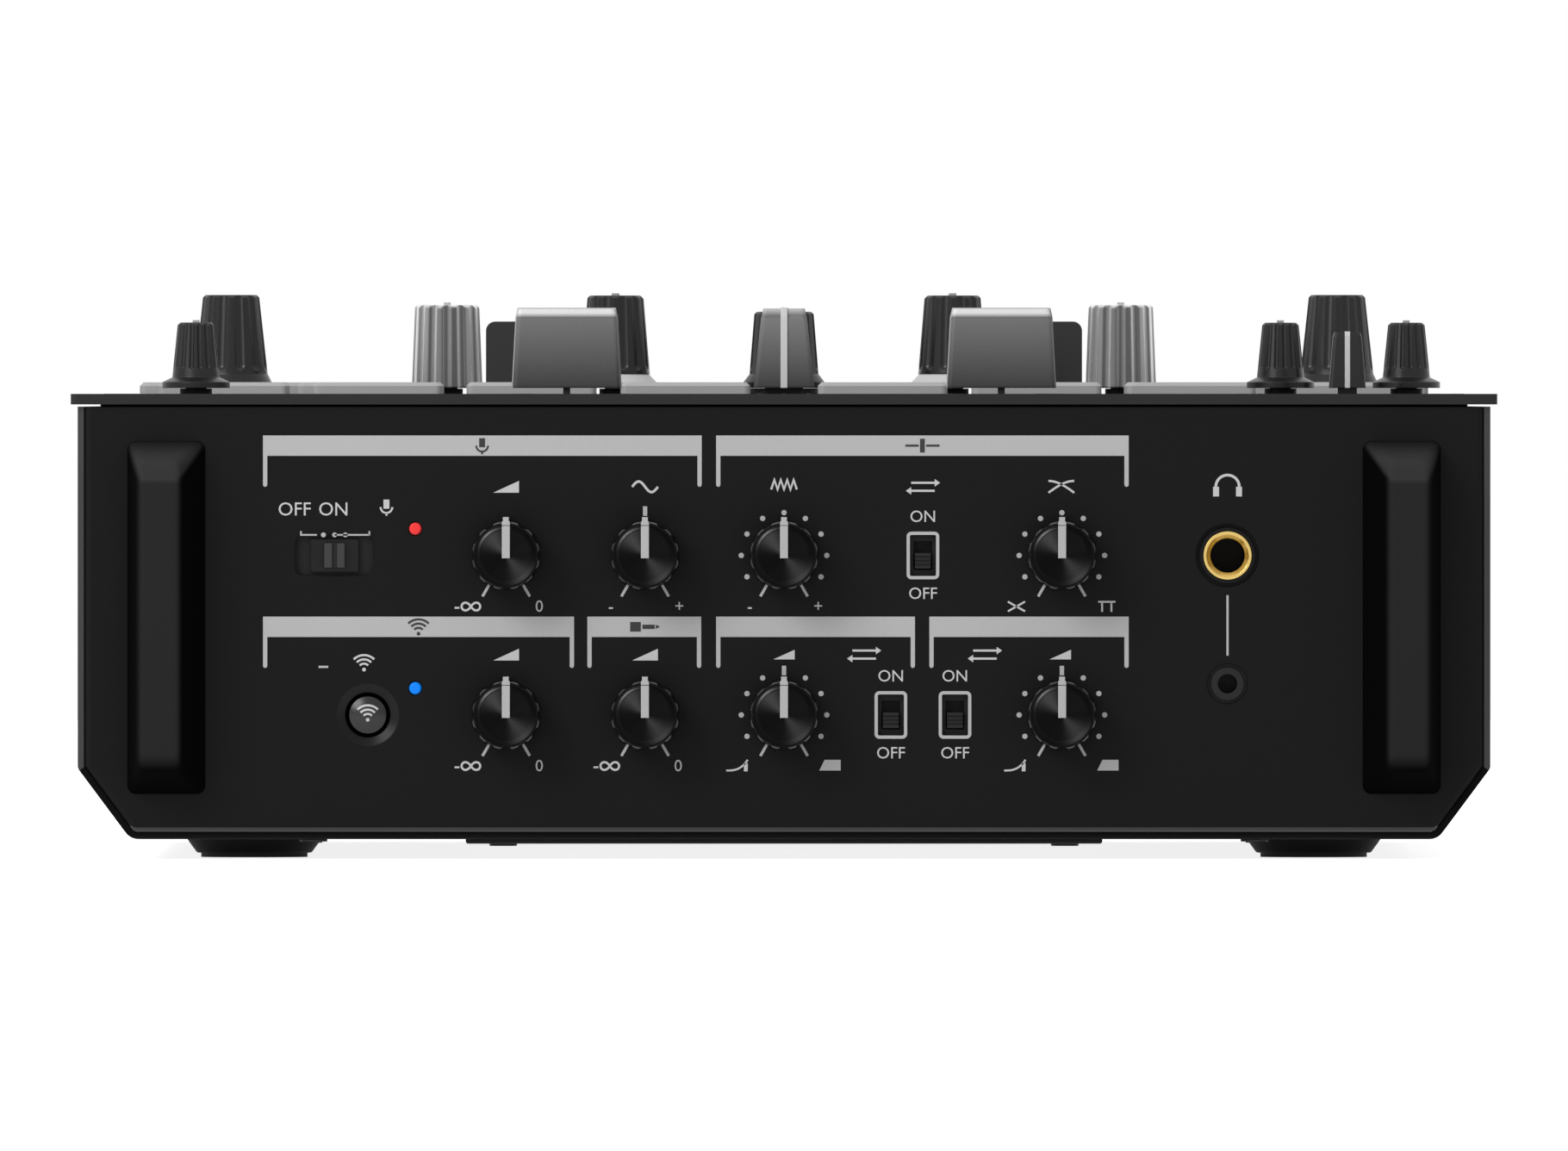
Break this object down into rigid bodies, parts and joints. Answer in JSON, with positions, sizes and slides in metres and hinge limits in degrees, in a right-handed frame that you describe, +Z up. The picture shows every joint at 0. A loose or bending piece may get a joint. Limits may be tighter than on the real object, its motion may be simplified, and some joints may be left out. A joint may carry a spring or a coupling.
{
  "type": "dj mixer",
  "caption": "Low boxy audio mixer with chamfered lower case corners, corner bumpers, front panel knobs and sockets, and faders, pads, paddles and knobs on its top plate.",
  "frame": {"origin": "middle of the footprint, on the surface that the feet stand on", "axes": "+Z up, front panel faces -Y, +X to the right seen from the front"},
  "size_m": [0.267, 0.408, 0.1063],
  "materials": {
    "case_black": "fine matt powder coat",
    "plate_black": "satin black",
    "soft_black": "matt",
    "foot_black": "matt",
    "screw_steel": "blackened",
    "board_green": "solder mask",
    "housing_black": "matt",
    "gold_plate": "bright gold plating",
    "red_lens": "clear red, lit",
    "blue_lens": "clear blue, lit",
    "pad_grey": "matt translucent",
    "meter_smoke": "smoked, gloss",
    "nickel_plate": "bright nickel",
    "silver_knob": "turned, satin",
    "fader_grey": "satin",
    "paddle_grey": "matt",
    "switch_grey": "satin",
    "button_grey": "translucent satin",
    "knob_black": "satin"
  },
  "bodies": {
    "chassis": {"body_shell": "case_black", "front_panel": "case_black", "rear_panel": "case_black", "top_plate": "plate_black", "front_bumpers": "soft_black", "bottom_cover": "case_black", "feet": "foot_black", "foot_pads": "soft_black", "case_screws": "screw_steel", "main_board": "board_green", "power_supply": "board_green", "front_board": "board_green", "control_board": "board_green", "pot_bodies": "housing_black", "fader_tracks": "housing_black", "switch_bodies": "housing_black", "phones_jacks": "housing_black", "phones_jack_ring": "gold_plate", "red_led": "red_lens", "blue_led": "blue_lens", "pad_mats": "pad_grey", "level_meter": "meter_smoke", "phono_sockets": "nickel_plate", "output_jacks": "housing_black", "usb_sockets": "nickel_plate", "mains_inlet": "housing_black"},
    "mic_level_knob": {"mic_level_knob": "knob_black"},
    "mic_tone_knob": {"mic_tone_knob": "knob_black"},
    "crossfader_feel_knob": {"crossfader_feel_knob": "knob_black"},
    "crossfader_curve_knob": {"crossfader_curve_knob": "knob_black"},
    "wireless_level_knob": {"wireless_level_knob": "knob_black"},
    "aux_level_knob": {"aux_level_knob": "knob_black"},
    "channel_one_curve_knob": {"channel_one_curve_knob": "knob_black"},
    "channel_two_curve_knob": {"channel_two_curve_knob": "knob_black"},
    "crossfader_reverse_switch": {"crossfader_reverse_switch": "switch_grey"},
    "channel_one_reverse_switch": {"channel_one_reverse_switch": "switch_grey"},
    "channel_two_reverse_switch": {"channel_two_reverse_switch": "switch_grey"},
    "sampler_volume_knob": {"sampler_volume_knob": "knob_black"},
    "phones_level_knob": {"phones_level_knob": "knob_black"},
    "booth_level_knob": {"booth_level_knob": "knob_black"},
    "channel_one_low_knob": {"channel_one_low_knob": "knob_black"},
    "channel_one_mid_knob": {"channel_one_mid_knob": "knob_black"},
    "channel_one_high_knob": {"channel_one_high_knob": "knob_black"},
    "channel_two_low_knob": {"channel_two_low_knob": "knob_black"},
    "channel_two_mid_knob": {"channel_two_mid_knob": "knob_black"},
    "channel_two_high_knob": {"channel_two_high_knob": "knob_black"},
    "channel_one_filter_knob": {"channel_one_filter_knob": "silver_knob"},
    "channel_two_filter_knob": {"channel_two_filter_knob": "silver_knob"},
    "effect_depth_knob": {"effect_depth_knob": "knob_black"},
    "left_browse_encoder": {"left_browse_encoder": "knob_black"},
    "right_browse_encoder": {"right_browse_encoder": "knob_black"},
    "channel_one_fader": {"channel_one_fader": "fader_grey"},
    "channel_two_fader": {"channel_two_fader": "fader_grey"},
    "left_effect_paddle": {"left_effect_paddle": "paddle_grey"},
    "right_effect_paddle": {"right_effect_paddle": "paddle_grey"},
    "mic_switch": {"mic_switch": "switch_grey"},
    "pairing_button": {"pairing_button": "button_grey"},
    "crossfader": {"crossfader": "fader_grey"},
    "phones_mix_slider": {"phones_mix_slider": "fader_grey"},
    "power_switch": {"power_switch": "housing_black"}
  },
  "joints": [
    {"name": "mic_level_knob_turn", "type": "hinge", "parent": "chassis", "child": "mic_level_knob", "pos_m": [-0.052, -0.192, 0.05675], "axis": [0, -1, 0], "range_deg": [-150, 150]},
    {"name": "mic_tone_knob_turn", "type": "hinge", "parent": "chassis", "child": "mic_tone_knob", "pos_m": [-0.026, -0.192, 0.05675], "axis": [0, -1, 0], "range_deg": [-150, 150]},
    {"name": "crossfader_feel_knob_turn", "type": "hinge", "parent": "chassis", "child": "crossfader_feel_knob", "pos_m": [0, -0.192, 0.05675], "axis": [0, -1, 0], "range_deg": [-150, 150]},
    {"name": "crossfader_curve_knob_turn", "type": "hinge", "parent": "chassis", "child": "crossfader_curve_knob", "pos_m": [0.052, -0.192, 0.05675], "axis": [0, -1, 0], "range_deg": [-150, 150]},
    {"name": "wireless_level_knob_turn", "type": "hinge", "parent": "chassis", "child": "wireless_level_knob", "pos_m": [-0.052, -0.192, 0.0269], "axis": [0, -1, 0], "range_deg": [-150, 150]},
    {"name": "aux_level_knob_turn", "type": "hinge", "parent": "chassis", "child": "aux_level_knob", "pos_m": [-0.026, -0.192, 0.0269], "axis": [0, -1, 0], "range_deg": [-150, 150]},
    {"name": "channel_one_curve_knob_turn", "type": "hinge", "parent": "chassis", "child": "channel_one_curve_knob", "pos_m": [0, -0.192, 0.0269], "axis": [0, -1, 0], "range_deg": [-150, 150]},
    {"name": "channel_two_curve_knob_turn", "type": "hinge", "parent": "chassis", "child": "channel_two_curve_knob", "pos_m": [0.052, -0.192, 0.0269], "axis": [0, -1, 0], "range_deg": [-150, 150]},
    {"name": "sampler_volume_knob_turn", "type": "hinge", "parent": "chassis", "child": "sampler_volume_knob", "pos_m": [-0.1104, -0.16, 0.087], "axis": [0, 0, 1], "range_deg": [-150, 150]},
    {"name": "phones_level_knob_turn", "type": "hinge", "parent": "chassis", "child": "phones_level_knob", "pos_m": [0.0935, -0.13, 0.087], "axis": [0, 0, 1], "range_deg": [-150, 150]},
    {"name": "booth_level_knob_turn", "type": "hinge", "parent": "chassis", "child": "booth_level_knob", "pos_m": [0.1172, -0.13, 0.087], "axis": [0, 0, 1], "range_deg": [-150, 150]},
    {"name": "channel_one_low_knob_turn", "type": "hinge", "parent": "chassis", "child": "channel_one_low_knob", "pos_m": [-0.0323, 0.02, 0.087], "axis": [0, 0, 1], "range_deg": [-150, 150]},
    {"name": "channel_one_mid_knob_turn", "type": "hinge", "parent": "chassis", "child": "channel_one_mid_knob", "pos_m": [-0.0323, 0.052, 0.087], "axis": [0, 0, 1], "range_deg": [-150, 150]},
    {"name": "channel_one_high_knob_turn", "type": "hinge", "parent": "chassis", "child": "channel_one_high_knob", "pos_m": [-0.0323, 0.084, 0.087], "axis": [0, 0, 1], "range_deg": [-150, 150]},
    {"name": "channel_two_low_knob_turn", "type": "hinge", "parent": "chassis", "child": "channel_two_low_knob", "pos_m": [0.0323, 0.02, 0.087], "axis": [0, 0, 1], "range_deg": [-150, 150]},
    {"name": "channel_two_mid_knob_turn", "type": "hinge", "parent": "chassis", "child": "channel_two_mid_knob", "pos_m": [0.0323, 0.052, 0.087], "axis": [0, 0, 1], "range_deg": [-150, 150]},
    {"name": "channel_two_high_knob_turn", "type": "hinge", "parent": "chassis", "child": "channel_two_high_knob", "pos_m": [0.0323, 0.084, 0.087], "axis": [0, 0, 1], "range_deg": [-150, 150]},
    {"name": "channel_one_filter_knob_turn", "type": "hinge", "parent": "chassis", "child": "channel_one_filter_knob", "pos_m": [-0.06435, 0.012, 0.087], "axis": [0, 0, 1], "range_deg": [-150, 150]},
    {"name": "channel_two_filter_knob_turn", "type": "hinge", "parent": "chassis", "child": "channel_two_filter_knob", "pos_m": [0.06435, 0.012, 0.087], "axis": [0, 0, 1], "range_deg": [-150, 150]},
    {"name": "effect_depth_knob_turn", "type": "hinge", "parent": "chassis", "child": "effect_depth_knob", "pos_m": [0, 0.02, 0.087], "axis": [0, 0, 1], "range_deg": [-150, 150]},
    {"name": "left_browse_encoder_turn", "type": "hinge", "parent": "chassis", "child": "left_browse_encoder", "pos_m": [-0.1057, 0.02, 0.087], "axis": [0, 0, 1], "continuous": true},
    {"name": "right_browse_encoder_turn", "type": "hinge", "parent": "chassis", "child": "right_browse_encoder", "pos_m": [0.1057, 0.02, 0.087], "axis": [0, 0, 1], "continuous": true},
    {"name": "left_effect_paddle_turn", "type": "hinge", "parent": "chassis", "child": "left_effect_paddle", "pos_m": [-0.0487, 0.075, 0.0805], "axis": [1, 0, 0], "range_deg": [-18, 18], "stiffness_Nm_per_rad": 0.05},
    {"name": "right_effect_paddle_turn", "type": "hinge", "parent": "chassis", "child": "right_effect_paddle", "pos_m": [0.0487, 0.075, 0.0805], "axis": [1, 0, 0], "range_deg": [-18, 18], "stiffness_Nm_per_rad": 0.05},
    {"name": "power_switch_turn", "type": "hinge", "parent": "chassis", "child": "power_switch", "pos_m": [-0.058, 0.192, 0.0396], "axis": [1, 0, 0], "range_deg": [0, 14]},
    {"name": "channel_one_fader_slide", "type": "slide", "parent": "chassis", "child": "channel_one_fader", "axis": [0, 1, 0], "range_m": [0, 0.045]},
    {"name": "channel_two_fader_slide", "type": "slide", "parent": "chassis", "child": "channel_two_fader", "axis": [0, 1, 0], "range_m": [0, 0.045]},
    {"name": "crossfader_slide", "type": "slide", "parent": "chassis", "child": "crossfader", "axis": [1, 0, 0], "range_m": [-0.0225, 0.0225]},
    {"name": "phones_mix_slider_slide", "type": "slide", "parent": "chassis", "child": "phones_mix_slider", "axis": [1, 0, 0], "range_m": [-0.008, 0.008]},
    {"name": "mic_switch_slide", "type": "slide", "parent": "chassis", "child": "mic_switch", "axis": [1, 0, 0], "range_m": [-0.002, 0.002]},
    {"name": "crossfader_reverse_switch_slide", "type": "slide", "parent": "chassis", "child": "crossfader_reverse_switch", "axis": [0, 0, 1], "range_m": [0, 0.002]},
    {"name": "channel_one_reverse_switch_slide", "type": "slide", "parent": "chassis", "child": "channel_one_reverse_switch", "axis": [0, 0, 1], "range_m": [0, 0.002]},
    {"name": "channel_two_reverse_switch_slide", "type": "slide", "parent": "chassis", "child": "channel_two_reverse_switch", "axis": [0, 0, 1], "range_m": [0, 0.002]},
    {"name": "pairing_button_slide", "type": "slide", "parent": "chassis", "child": "pairing_button", "axis": [0, 1, 0], "range_m": [0, 0.0008], "stiffness_N_per_m": 300}
  ]
}
